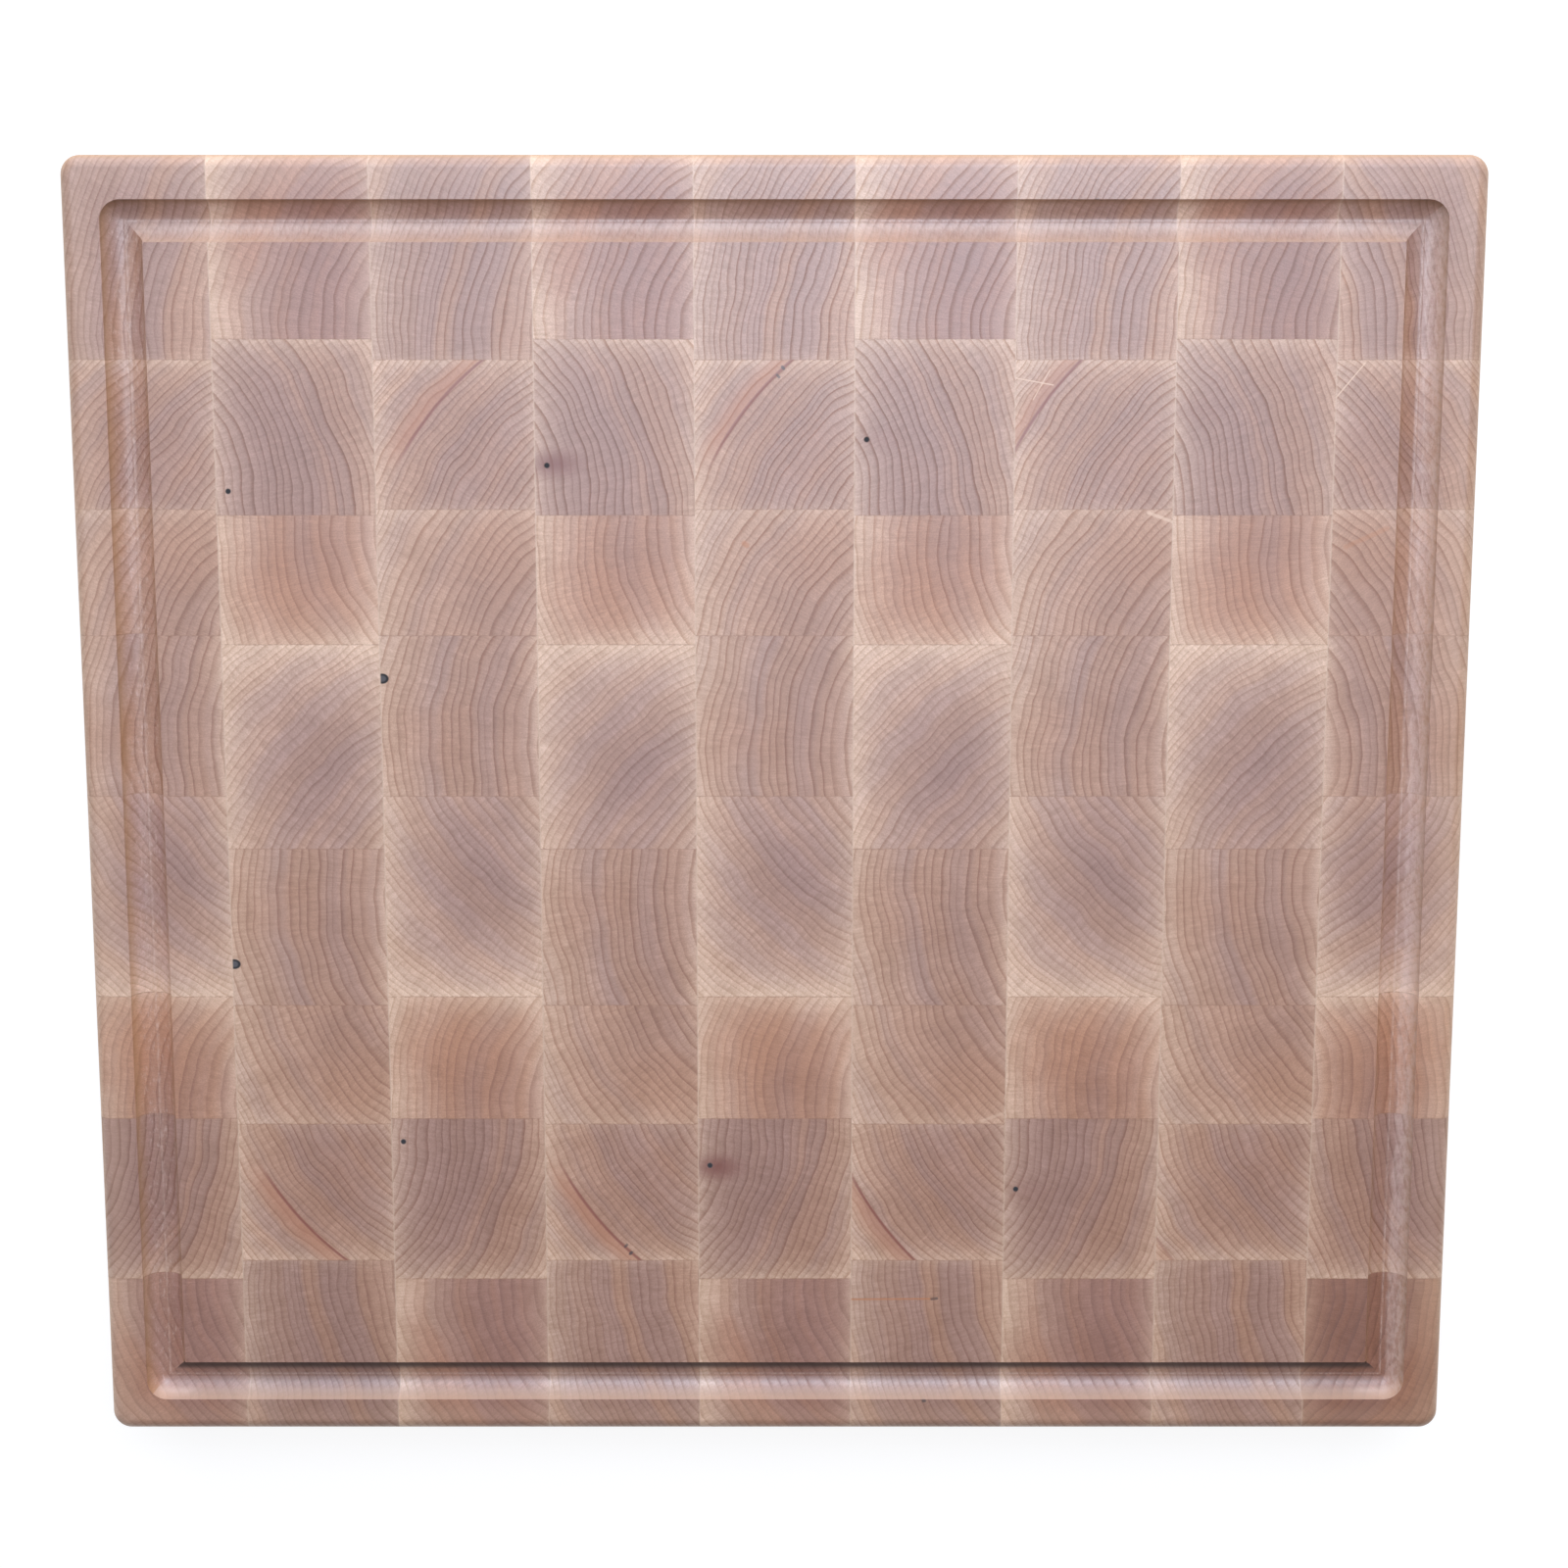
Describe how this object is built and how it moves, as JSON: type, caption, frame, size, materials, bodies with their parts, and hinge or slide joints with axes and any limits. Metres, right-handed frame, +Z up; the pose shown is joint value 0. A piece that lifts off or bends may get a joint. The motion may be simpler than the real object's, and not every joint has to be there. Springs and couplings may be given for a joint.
{
  "type": "end-grain cutting board",
  "caption": "Thick rectangular end-grain maple cutting board with rounded edges and a half-round juice groove around the rim.",
  "frame": {"origin": "centre of the underside, on the surface the board lies on", "axes": "+X across the strips, the board's longest side; +Y along the strips, towards the head end; +Z up through the thickness, along the wood fibres"},
  "size_m": [0.432, 0.406, 0.045],
  "materials": {
    "maple_a": "oiled satin, end grain on the top and bottom faces",
    "maple_b": "oiled satin, end grain on the top and bottom faces",
    "maple_cd": "oiled satin, end grain on the top and bottom faces",
    "maple_e": "oiled satin, end grain on the top and bottom faces",
    "maple_fg": "oiled satin, end grain on the top and bottom faces",
    "maple_h": "oiled satin, end grain on the top and bottom faces"
  },
  "bodies": {
    "root": {"strip_1_block_a": "maple_a", "strip_1_block_b": "maple_b", "strip_1_blocks_c_d": "maple_cd", "strip_1_block_e": "maple_e", "strip_1_blocks_f_g": "maple_fg", "strip_1_block_h": "maple_h", "strip_2_block_a": "maple_a", "strip_2_block_b": "maple_b", "strip_2_blocks_c_d": "maple_cd", "strip_2_block_e": "maple_e", "strip_2_blocks_f_g": "maple_fg", "strip_2_block_h": "maple_h", "strip_3_block_a": "maple_a", "strip_3_block_b": "maple_b", "strip_3_blocks_c_d": "maple_cd", "strip_3_block_e": "maple_e", "strip_3_blocks_f_g": "maple_fg", "strip_3_block_h": "maple_h", "strip_4_block_a": "maple_a", "strip_4_block_b": "maple_b", "strip_4_blocks_c_d": "maple_cd", "strip_4_block_e": "maple_e", "strip_4_blocks_f_g": "maple_fg", "strip_4_block_h": "maple_h", "strip_5_block_a": "maple_a", "strip_5_block_b": "maple_b", "strip_5_blocks_c_d": "maple_cd", "strip_5_block_e": "maple_e", "strip_5_blocks_f_g": "maple_fg", "strip_5_block_h": "maple_h", "strip_6_block_a": "maple_a", "strip_6_block_b": "maple_b", "strip_6_blocks_c_d": "maple_cd", "strip_6_block_e": "maple_e", "strip_6_blocks_f_g": "maple_fg", "strip_6_block_h": "maple_h", "strip_7_block_a": "maple_a", "strip_7_block_b": "maple_b", "strip_7_blocks_c_d": "maple_cd", "strip_7_block_e": "maple_e", "strip_7_blocks_f_g": "maple_fg", "strip_7_block_h": "maple_h", "strip_8_block_a": "maple_a", "strip_8_block_b": "maple_b", "strip_8_blocks_c_d": "maple_cd", "strip_8_block_e": "maple_e", "strip_8_blocks_f_g": "maple_fg", "strip_8_block_h": "maple_h", "strip_9_block_a": "maple_a", "strip_9_block_b": "maple_b", "strip_9_blocks_c_d": "maple_cd", "strip_9_block_e": "maple_e", "strip_9_blocks_f_g": "maple_fg", "strip_9_block_h": "maple_h"}
  },
  "joints": []
}
